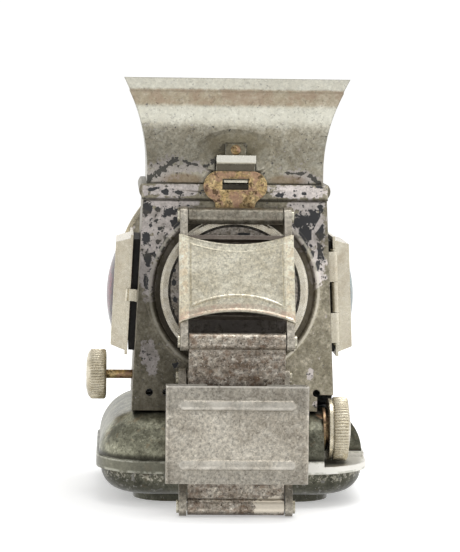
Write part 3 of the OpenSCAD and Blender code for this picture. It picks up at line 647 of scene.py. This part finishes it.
def body_material():
    light = colour(190, 182, 164)
    base = colour(156, 149, 130)
    dark = colour(122, 116, 99)
    bare_spots = [(-25, 92, 11, 8, 0), (-29, 78, 4.2, 16, 8), (-24.5, 85, 6, 7, 20), (24, 90, 9, 10, 0),
                  (27.4, 78, 4, 9, 0), (24, 98, 9, 2.5, 0), (-22, 98.5, 12, 2.5, 0),
                  (-27.5, 48, 3.6, 8, 15), (25.3, 42.6, 1.6, 2.6, 0), (28, 32.5, 2.4, 1.6, 0),
                  (-20, 102.5, 14, 3, 0), (20, 102.5, 14, 3, 0)]
    black_left = [(-29.2, 96.4, 3.0, 3.4, 0), (-25.2, 96.2, 1.6, 1.1, 0), (-21.4, 95.2, 3.4, 1.8, 20),
                  (-19.4, 92.0, 2.4, 3.4, 0), (-27.6, 91.0, 1.1, 0.9, 0), (-24.4, 90.0, 1.4, 1.0, 0),
                  (-28.9, 86.5, 2.2, 3.0, 10), (-25.0, 85.6, 1.5, 1.1, 0), (-28.4, 80.0, 1.7, 3.6, 5),
                  (-26.2, 81.2, 1.0, 2.0, 30), (-22.2, 86.2, 1.3, 2.6, 28), (-23.9, 83.3, 1.2, 1.9, 30),
                  (-28.9, 72.5, 1.1, 4.0, 4), (-19.0, 45.1, 1.6, 1.2, 0), (-30, 99, 2.0, 1.3, 0)]
    black_right = [(21.5, 92.5, 4.0, 3.6, 0), (25.6, 93.6, 4.0, 4.0, 0), (23.2, 88.5, 3.8, 4.0, 0),
                   (27.6, 89.5, 3.0, 5.0, 0), (22.8, 84.6, 1.9, 3.0, 0), (27.6, 83.0, 2.2, 4.6, 0),
                   (27.2, 78.4, 1.6, 2.8, 0), (28.0, 97.0, 1.3, 2.2, 0), (25.6, 82.0, 1.3, 1.8, 0)]
    collar = [(-27.0, 102.8, 2.4, 1.0, 10), (-23.0, 102.0, 1.6, 1.4, 20), (-18.7, 101.8, 2.6, 0.9, 0),
              (14.7, 101.4, 1.8, 1.2, 0), (22.7, 101.9, 1.1, 0.8, 0), (27.5, 104.2, 2.8, 0.7, -20)]

    def bare(t):
        at_rear = rear_only(t, t.spots(bare_spots))
        elsewhere = t.times(t.step(t.noise(0.09, 4), 0.52, 0.66), t.step(t.y, -27, -22))
        return ragged(t, t.add(at_rear, t.times(elsewhere, 0.35)), 0.24, 0.32, 0.55, 1.7)

    def black(t):
        streak = t.top(t.spots([(27.6, 91.8, 0.9, 4.2, -28), (26.2, 86.4, 0.8, 4.0, 10),
                                (26.6, 81.0, 0.7, 3.0, -12)]), t.spots([(21.0, 85.9, 1.9, 1.4, 0)]))
        marks = t.spots(black_left + black_right + collar)
        small = t.times(t.step(t.noise(0.85, 3), 0.56, 0.62), t.step(t.spots(bare_spots), 0.1, 0.4))
        marks = t.top(marks, t.times(small, 0.42))
        marks = t.math("SUBTRACT", marks, t.times(t.step(streak, 0.0, 0.35), 1.4))
        at_rear = rear_only(t, marks)
        elsewhere = t.times(t.step(t.noise(0.16, 5, 0.65), 0.56, 0.66), t.step(t.y, -27, -22))
        return ragged(t, t.add(at_rear, t.times(elsewhere, 0.5)), 0.27, 0.33, 1.0, 1.9)

    def tone(t, col):
        seam = t.band(t.z, 98.6, 99.2, 99.7, 100.3)
        col = t.tint(col, seam, 0.8, colour(50, 45, 36))
        round_lens = off_axis(t)
        # Painted shade in the groove round the lens ring, painted highlight on the crest outside it.
        groove_shade = t.band(round_lens, at_radius(27.4), at_radius(26.2), at_radius(24.4), at_radius(23.2))
        col = t.tint(col, rear_only(t, groove_shade), 0.85, colour(62, 55, 44))
        crest_highlight = t.band(round_lens, at_radius(28.32), at_radius(27.92), at_radius(27.52), at_radius(27.12))
        col = t.tint(col, rear_only(t, crest_highlight), 0.5, colour(222, 216, 200))
        low = t.step(t.z, 36.0, 31.0)
        col = t.tint(col, low, 0.3, colour(96, 90, 74))
        cloudy = t.step(t.noise(0.14, 5, 0.6, 0.4), 0.5, 0.62)
        col = t.tint(col, cloudy, 0.35, colour(98, 91, 74))
        # Painted light and shade: the lower rear wall darker on the left and lighter on the right.
        lower_wall = t.step(t.z, 88.0, 76.0)
        left = t.times(t.step(t.x, -12.0, -16.0), lower_wall)
        right = t.times(t.step(t.x, 12.0, 16.0), lower_wall)
        side_lit = t.shade(col, t.add(1.0, t.times(left, -0.44), t.times(right, 0.52)))
        col = t.mix(rear_only(t, 1.0), col, side_lit)
        collar_right = t.times(t.step(t.z, 100.2, 100.6), t.step(t.x, 8.0, 12.0))
        col = t.shade(col, t.add(1.0, t.times(rear_only(t, collar_right), 0.4)))
        under_bracket = t.spots([(0, 91.0, 17, 5.5, 0), (0, 57.5, 18, 8.0, 0), (0, 104.0, 6, 3, 0)])
        shadow = t.step(under_bracket, 0.0, 0.35)
        return t.tint(col, rear_only(t, shadow), 0.85, colour(48, 44, 38))

    def relief(t):
        spindle = t.step(t.spots([(-0.8, 104.6, 23.5, 3.4, 0)]), 0.0, 0.25)
        return rear_only(t, t.times(spindle, 0.4))
    return plate_material("body_plate_worn", light, base, dark, 0.8, 0.4, 0.34, bare=bare, black=black,
                          tone=tone, relief=relief, rounding=0.6)


def font_material():
    light = colour(140, 139, 122)
    base = colour(106, 105, 90)
    dark = colour(76, 75, 63)

    def bare(t):
        seam = t.times(t.step(t.z, 11.4, 10.8), t.step(t.z, 6.5, 9.5))
        return t.times(ragged(t, t.times(seam, 0.45), 0.5, 0.58, 0.9, 2.6), 0.9)

    def black(t):
        low = t.step(t.z, 11.2, 10.6)
        return t.times(ragged(t, t.times(low, 0.3), 0.5, 0.6, 0.6, 2.2), 0.8)

    def tone(t, col):
        cloudy = t.step(t.noise(0.16, 5, 0.62, 0.4), 0.5, 0.6)
        col = t.tint(col, cloudy, 0.5, colour(58, 57, 45))
        rust = t.step(t.noise(0.3, 5, 0.65), 0.56, 0.64)
        col = t.tint(col, rust, 0.4, colour(104, 86, 62))
        # The lower shell darker: tarnish and painted shade.
        under = t.step(t.z, 11.2, 10.6)
        col = t.tint(col, under, 0.4, colour(62, 62, 52))
        # Painted highlight: the dome's left shoulder lighter.
        shoulder_highlight = t.times(t.step(t.z, 15.2, 17.5), t.step(t.x, -10.0, -20.0))
        col = t.shade(col, t.add(1.0, t.times(shoulder_highlight, 1.1)))
        band = t.band(t.z, 10.7, 11.2, 15.0, 15.4)
        # The band near white on the right: wear and painted highlight.
        right = t.times(t.step(t.x, 13, 18), t.step(t.y, 16, -14))
        col = t.tint(col, band, 0.45, colour(150, 148, 132))
        worn_and_lit = t.times(band, ragged(t, right, 0.44, 0.54, 0.22, 1.3))
        col = t.mix(worn_and_lit, col, colour(250, 247, 238))
        dirt = t.band(t.z, 15.0, 15.3, 15.6, 17.2)
        col = t.tint(col, dirt, 0.75, colour(48, 46, 37))
        # Thin light lines along the band's edges: rubbing and painted highlight.
        upper_line = t.band(t.z, 14.3, 14.6, 15.0, 15.3)
        lower_line = t.band(t.z, 10.9, 11.1, 11.6, 11.9)
        rubbed_and_lit = t.times(t.top(upper_line, lower_line), t.step(t.noise(0.35, 4, 0.6), 0.42, 0.56))
        return t.tint(col, rubbed_and_lit, 0.7, colour(198, 197, 182))
    return plate_material("font_plate", light, base, dark, 0.75, 0.32, 0.45, bare=bare, black=black,
                          tone=tone, edge_colour=colour(206, 202, 184), rounding=0.35,
                          chips=colour(214, 208, 190))


def bracket_material(name="bracket_plate_worn", shadowed=False):
    light = colour(218, 212, 199)
    base = colour(196, 189, 175)
    dark = colour(162, 154, 140)

    def tone(t, col):
        if shadowed:
            middle = t.band(t.x, -15.9, -15.5, 15.5, 15.9)
            return t.tint(col, middle, 0.85, colour(104, 93, 86))
        up = t.along(IN_STRIP)
        waist = t.band(up, -20.5, -23.5, -36.5, -40.0)
        low = t.step(up, -36.5, -40.0)
        col = t.shade(col, t.add(0.8, t.times(waist, 0.36), t.times(low, 0.07)))
        # Rib crests and the top edge lighter: rubbing and painted highlight.
        proud = t.step(t.along(IN_STRIP, 2), SOCKET_OUT + 0.3, SOCKET_OUT + 0.6)
        rubbed_and_lit = t.times(proud, t.step(t.noise(0.15, 2, 0.4), 0.30, 0.66))
        rim = t.times(t.step(up, SOCKET_TOP - 0.7, SOCKET_TOP - 0.4), t.step(t.noise(0.4, 3), 0.3, 0.4))
        return t.tint(col, t.top(rubbed_and_lit, rim), 0.6, colour(236, 231, 220))
    return plate_material(name, light, base, dark, 0.85, 0.36, 0.42, tone=tone)


def tube_material():
    light = colour(176, 172, 158)
    base = colour(148, 141, 127)
    dark = colour(116, 108, 95)
    return plate_material("bearing_plate", light, base, dark, 0.8, 0.34, 0.4)


def strip_material():
    light = colour(222, 216, 204)
    base = colour(190, 181, 166)
    dark = colour(112, 98, 84)

    def tone(t, col):
        rust = t.step(t.noise(0.5, 4, 0.65), 0.5, 0.62)
        col = t.tint(col, rust, 0.5, colour(126, 98, 76))
        drawn = t.step(t.noise(1.0, 4, 0.6, at=t.stretched(0.12, 0.12, 0.9)), 0.5, 0.66)
        col = t.tint(col, drawn, 0.4, colour(96, 84, 72))
        tan = ragged(t, t.spots([(10.5, 3.6, 7.0, 4.2, 0)]), 0.3, 0.36, 0.5, 1.6)
        return t.tint(col, tan, 0.9, colour(236, 226, 208))
    return plate_material("strip_plate", light, base, dark, 0.78, 0.4, 0.7, tone=tone,
                          edge_colour=colour(226, 220, 206))


def nickel_material(name="nickel_warm", gain=1.0, rough=0.28, speckle=0.18, tone=None):
    light = colour(236, 232, 215, gain)
    base = colour(224, 219, 200, gain)
    dark = colour(198, 190, 168, gain)
    return plate_material(name, light, base, dark, 0.85, rough, speckle, tone=tone)


def cover_material():
    """Nickel, rubbed to copper along the rolled ends and the folds."""
    def tone(t, col):
        corner, middle = COVER_LOW
        low = t.add(middle, t.times(t.times(t.x, t.x), (corner - middle) / COVER_HALF ** 2))
        above = t.math("SUBTRACT", t.along(IN_LINK), low)
        lip = t.band(above, 0.0, 0.3, 2.2, 3.4)
        thin = t.step(t.noise(0.45, 4, 0.6), 0.42, 0.58)
        copper = t.times(lip, t.add(0.35, t.times(thin, 0.5)))
        col = t.tint(col, copper, 0.8, colour(186, 156, 138))
        sideways = t.math("ABSOLUTE", t.x)
        fold = t.times(t.step(sideways, 15.2, 16.4), t.step(t.noise(0.3, 4, 0.6), 0.46, 0.6))
        col = t.tint(col, fold, 0.4, colour(196, 172, 138))
        # Painted light: the cover's folded sides lighter.
        flank_light = t.step(sideways, 15.3, 15.7)
        return t.shade(col, t.add(1.0, t.times(flank_light, 0.35)))
    return nickel_material("cover_nickel", 1.02, 0.32, 0.36, tone)


def catch_material():
    """Painted highlight on the tab above its fold; painted shade below it, apart from the tongue."""
    def tone(t, col):
        # Painted highlight on the tab.
        tab_highlight = t.times(t.step(t.z, 111.9, 112.1), t.step(t.y, -29.0, -30.0))
        col = t.tint(col, tab_highlight, 0.85, colour(255, 252, 240))
        # Painted shade below the tab's fold, apart from the tongue.
        under_tab_shade = t.step(t.z, 111.9, 111.5)
        tongue = t.times(t.step(t.y, -31.2, -31.5), t.step(t.z, 106.6, 106.4))
        return t.tint(col, t.times(under_tab_shade, t.flip(tongue)), 0.9, colour(96, 87, 72))
    return nickel_material("catch_nickel", 1.08, 0.18, 0.12, tone)


def frame_material():
    light = colour(252, 246, 228)
    base = colour(240, 232, 210)
    dark = colour(222, 212, 190)

    def tone(t, col):
        left = t.step(t.x, -33.0, -36.0)
        thin = t.step(t.noise(0.12, 3, 0.5), 0.52, 0.72)
        col = t.tint(col, thin, 0.25, colour(190, 172, 142))
        # Painted light and shade: the left frame lighter and the right frame darker.
        right = t.step(t.x, 33.0, 36.0)
        return t.shade(col, t.add(1.0, t.times(left, 0.12), t.times(right, -0.14)))
    return plate_material("frame_nickel", light, base, dark, 0.8, 0.24, 0.07, tone=tone)


def ring_material():
    light = colour(255, 250, 238)
    base = colour(246, 239, 220)
    dark = colour(220, 210, 188)

    def tone(t, col):
        # Painted shade: the ring darker on the left.
        return t.shade(col, t.add(1.0, t.times(t.step(t.x, -5.0, -18.0), -0.28)))
    return plate_material("ring_nickel", light, base, dark, 0.75, 0.26, 0.09, tone=tone)


def disc_material():
    light = colour(206, 199, 190)
    base = colour(176, 168, 158)
    dark = colour(128, 120, 108)

    def bare(t):
        return t.times(ragged(t, t.spots([(0, LIGHT_Z, 26, 26)]), 0.35, 0.45, 0.5, 2.0), 0.7)

    def black(t):
        marks = [(-19.7, 72.4, 1.3, 1.6), (-19.4, 66.8, 1.2, 1.5), (-19.8, 76.5, 1.0, 1.2),
                 (12, 84, 2.2, 1.6), (-9, 87, 2.6, 1.2), (3, 88.4, 3.4, 0.9)]
        return ragged(t, t.spots(marks), 0.34, 0.42, 0.9, 1.4)

    def tone(t, col):
        shadow = t.step(t.z, 63.0, 60.0)
        col = t.tint(col, shadow, 0.85, colour(46, 42, 37))
        # Painted shade: a dark band for the gap inside the nickel ring.
        rim = t.step(off_axis(t), at_radius(20.72), at_radius(21.12))
        return t.mix(rim, col, colour(26, 24, 21))
    return plate_material("disc_plate", light, base, dark, 0.78, 0.38, 0.7, bare=bare, black=black,
                          tone=tone)


def knurl_material():
    light = colour(248, 241, 222)
    base = colour(236, 226, 202)
    dark = colour(176, 163, 132)
    return plate_material("knurl_nickel", light, base, dark, 0.75, 0.26, 0.09, edge_colour=colour(252, 247, 234))


def brass_material():
    light = colour(232, 212, 164)
    base = colour(206, 178, 126)
    dark = colour(148, 120, 86)

    def tone(t, col):
        copper = t.step(t.noise(0.3, 4, 0.65), 0.48, 0.56)
        col = t.tint(col, copper, 0.65, colour(186, 146, 128))
        soot = t.step(t.noise(0.5, 5, 0.7), 0.53, 0.59)
        return t.tint(col, soot, 0.8, colour(74, 58, 42))
    return plate_material("old_brass", light, base, dark, 0.85, 0.36, 0.7, tone=tone)


# Black finish: soot inside the hood and body, and painted shade on the window seats.
def soot_and_shade_material():
    light = colour(62, 58, 50)
    base = colour(40, 38, 34)
    dark = colour(26, 25, 23)
    return plate_material("black_japan_and_shade", light, base, dark, 0.2, 0.55, 0.6)


def spring_material():
    light = colour(120, 116, 108)
    base = colour(92, 88, 82)
    dark = colour(60, 56, 50)
    return plate_material("spring_steel", light, base, dark, 0.85, 0.35, 0.5)


def silver_material():
    light = colour(240, 240, 236)
    base = colour(226, 226, 222)
    dark = colour(190, 188, 180)
    return plate_material("silvered", light, base, dark, 0.97, 0.16, 0.12)


def glass_material(name, tint, rough=0.05):
    t = Tree(name)
    dust = t.times(t.noise(0.5, 4), t.noise(2.2, 3))
    col = t.mix(t.step(dust, 0.2, 0.5), tint, tuple(c * 0.8 for c in tint[:3]) + (1.0,))
    roughness = t.add(rough, t.times(dust, 0.18))
    ripple = t.bump(t.noise(0.25, 2), 0.15, 0.35)
    return t.finish(col, roughness, 0.0, ripple, Transmission_Weight=0.92, IOR=1.5)


def soft_material(name, light, dark, per_mm, rough=0.85):
    t = Tree(name)
    weave = t.math("SINE", t.times(t.add(t.x, t.z), per_mm))
    cross = t.math("SINE", t.times(t.add(t.x, t.times(t.z, -1.0)), per_mm))
    thread = t.times(t.add(weave, cross, 2.0), 0.25)
    col = t.mix(t.add(t.times(thread, 0.6), t.times(t.noise(0.6, 4), 0.5)), dark, light)
    return t.finish(col, rough, 0.0, t.bump(t.add(thread, t.noise(2.0, 3)), 0.12))


def paint(obj, material):
    obj.data.materials.clear()
    obj.data.materials.append(material)
    obj.data.polygons.foreach_set("material_index", [0] * len(obj.data.polygons))


def dress_everything(pieces):
    nickel = nickel_material()
    hood = hood_material()
    linked = bracket_material("link_plate_worn", True)
    body = body_material()
    bracket = bracket_material()
    strip = strip_material()
    tube = tube_material()
    brass = brass_material()
    soot = soot_and_shade_material()
    frames = frame_material()
    knurl = knurl_material()
    by_node = {
        "font_": font_material(), "burner_": brass, "raiser_shaft": brass, "wick_knob": knurl,
        "wick": soft_material("wick_cotton", colour(222, 212, 184), colour(150, 138, 112), 5.2),
        "filler_neck": brass, "filler_cap": knurl,
        "cap_washer": soft_material("washer_leather", colour(128, 88, 56), colour(84, 54, 34), 3.0, 0.7),
        "rear_wall": body, "right_wall": body, "left_wall": body, "front_wall": body, "body_floor": soot,
        "body_collar": body, "lens_drum": body,
        "lens_gasket": soft_material("gasket_rubber", colour(44, 43, 41), colour(22, 22, 21), 4.0, 0.8),
        "front_lens": glass_material("lens_glass", (0.96, 0.99, 0.98, 1.0), 0.02), "front_bezel": frames,
        "reflector": silver_material(), "rear_disc": disc_material(), "rear_ring": ring_material(),
        # The window seats take the black finish as painted shade in the gaps beside the doors.
        "window_seats": soot, "door_": frames, "right_pin": nickel, "left_pin": nickel,
        "right_frame": frames, "left_frame": frames,
        "right_jewel": glass_material("green_jewel", colour(46, 104, 100)),
        "left_jewel": glass_material("ruby_jewel", colour(122, 34, 56)), "right_jewel_ring": nickel,
        "left_jewel_ring": nickel, "hood_crown": hood, "hood_floor": soot, "hood_chimney": soot,
        "hood_baffle": soot, "hood_leaf": nickel, "collar_leaf": nickel, "hood_pin": nickel,
        "hasp_plate": brass, "catch_base": hood, "catch_spring": catch_material(), "catch_rivet": brass,
        "upper_bearing": tube, "lower_bearing": tube, "upper_link": linked, "lower_link": linked,
        "link_cover": cover_material(), "upper_pins": nickel, "lower_pins": nickel,
        "link_spring": spring_material(),
        "socket_strip": strip, "socket_channel": bracket, "socket_rivets": bracket,
    }
    for name, obj in NODES.items():
        exact = by_node.get(name)
        family = next((by_node[k] for k in by_node if k.endswith("_") and name.startswith(k)), None)
        paint(obj, exact or family)
    for piece, like in pieces:
        paint(piece, by_node[like])


# ---------------------------------------------------------------- studio and camera

FLOOR_GLOW = 0.36


def lay_floor():
    """White paper to the horizon, glowing a little and unseen in the metal."""
    reach = 14000.0
    points = [(-reach, -reach, 0), (reach, -reach, 0), (reach, reach, 0), (-reach, reach, 0)]
    mesh = bpy.data.meshes.new("studio_floor")
    mesh.from_pydata([Vector(p) * MM for p in points], [], [(0, 1, 2, 3)])
    floor = bpy.data.objects.new("studio_floor", mesh)
    bpy.context.scene.collection.objects.link(floor)
    floor.visible_glossy = False
    t = Tree("studio_paper")
    col = t.mix(t.noise(0.02, 2), (0.90, 0.90, 0.895, 1), (0.92, 0.92, 0.915, 1))
    paper = t.finish(col, 0.9, 0.0, Emission_Color=(1.0, 1.0, 1.0, 1.0), Emission_Strength=FLOOR_GLOW)
    floor.data.materials.append(paper)


LEFT_GLOW = 0.52
RIGHT_GLOW = 0.82
CEILING_GLOW = 0.8
TABLE_GLOW = 1.45
BACK_GLOW = 1.06
ROOM_GLOW = 0.7


def light_world():
    """White behind and beside the lamp; toward the camera a darker room over a bright table."""
    world = bpy.data.worlds.new("studio")
    bpy.context.scene.world = world
    world.use_nodes = True
    nodes = world.node_tree.nodes
    links = world.node_tree.links
    nodes.clear()

    def put(socket, value):
        if isinstance(value, bpy.types.NodeSocket):
            links.new(value, socket)
        else:
            socket.default_value = value

    def span(value, low, high, out_low, out_high):
        made = nodes.new("ShaderNodeMapRange")
        made.interpolation_type = "SMOOTHSTEP"
        put(made.inputs["Value"], value)
        for key, v in (("From Min", low), ("From Max", high), ("To Min", out_low), ("To Max", out_high)):
            put(made.inputs[key], v)
        return made.outputs[0]

    def blend(factor, a, b):
        made = nodes.new("ShaderNodeMix")
        put(made.inputs[0], factor)
        put(made.inputs[2], a)
        put(made.inputs[3], b)
        return made.outputs[0]

    direction = nodes.new("ShaderNodeTexCoord")
    split = nodes.new("ShaderNodeSeparateXYZ")
    links.new(direction.outputs["Generated"], split.inputs[0])
    toward_back = span(split.outputs[1], -0.93, -0.35, 0.0, 1.0)
    back_high = span(split.outputs[2], 0.15, 0.45, BACK_GLOW, ROOM_GLOW)
    back_low = span(split.outputs[2], -0.45, -0.12, ROOM_GLOW, BACK_GLOW)
    level_ahead = span(split.outputs[0], -0.35, 0.35, LEFT_GLOW, RIGHT_GLOW)
    front_high = span(split.outputs[2], 0.30, 0.75, level_ahead, CEILING_GLOW)
    front_low = span(split.outputs[2], -0.56, -0.34, TABLE_GLOW, level_ahead)
    above = span(split.outputs[2], -0.02, 0.02, 0.0, 1.0)
    front = blend(above, front_low, front_high)
    back = blend(above, back_low, back_high)
    level = blend(toward_back, front, back)
    backdrop = nodes.new("ShaderNodeBackground")
    backdrop.inputs["Color"].default_value = (1.0, 1.0, 1.0, 1.0)
    links.new(level, backdrop.inputs["Strength"])
    out = nodes.new("ShaderNodeOutputWorld")
    links.new(backdrop.outputs[0], out.inputs["Surface"])


def area_light(name, place, toward, size, power):
    data = bpy.data.lights.new(name, "AREA")
    data.shape = "RECTANGLE"
    data.size = size[0]
    data.size_y = size[1]
    data.energy = power
    lamp = bpy.data.objects.new(name, data)
    lamp.matrix_world = Matrix.Translation(Vector(place)) @ (
        Vector(toward) - Vector(place)).to_track_quat("-Z", "Y").to_matrix().to_4x4()
    lamp.visible_camera = False
    bpy.context.scene.collection.objects.link(lamp)


def set_camera():
    """Faces the bracket from a little to the left and above, looking slightly down."""
    distance = 0.85
    height = 0.13926
    azimuth = math.radians(-2.576)
    pitch = math.radians(4.517)
    roll = math.radians(0.751)
    eye = Vector((distance * math.sin(azimuth), -distance * math.cos(azimuth), height))
    data = bpy.data.cameras.new("studio_camera")
    data.lens = 163.18
    data.sensor_width = 36
    data.clip_start = 0.01
    data.clip_end = 60
    camera = bpy.data.objects.new("studio_camera", data)
    camera.matrix_world = (Matrix.Translation(eye) @ Matrix.Rotation(azimuth, 4, "Z")
                           @ Matrix.Rotation(math.pi / 2 - pitch, 4, "X") @ Matrix.Rotation(roll, 4, "Z"))
    bpy.context.scene.collection.objects.link(camera)
    bpy.context.scene.camera = camera


pieces = [
    (make_cover(), "link_cover"),
    (make_cover_flanges(), "link_cover"),
    (make_socket_plate(), "socket_channel"),
    (make_socket_returns(), "socket_channel"),
    (make_knob(), "wick_knob"),
    (make_cap(), "filler_cap"),
]
dress_everything(pieces)
lay_floor()
light_world()
area_light("softbox", (0.25, 0.2, 1.1), (0, 0, 0.05), (0.8, 0.8), 7)
set_camera()
bpy.context.scene.view_settings.view_transform = "Standard"
bpy.context.scene.view_settings.look = "None"
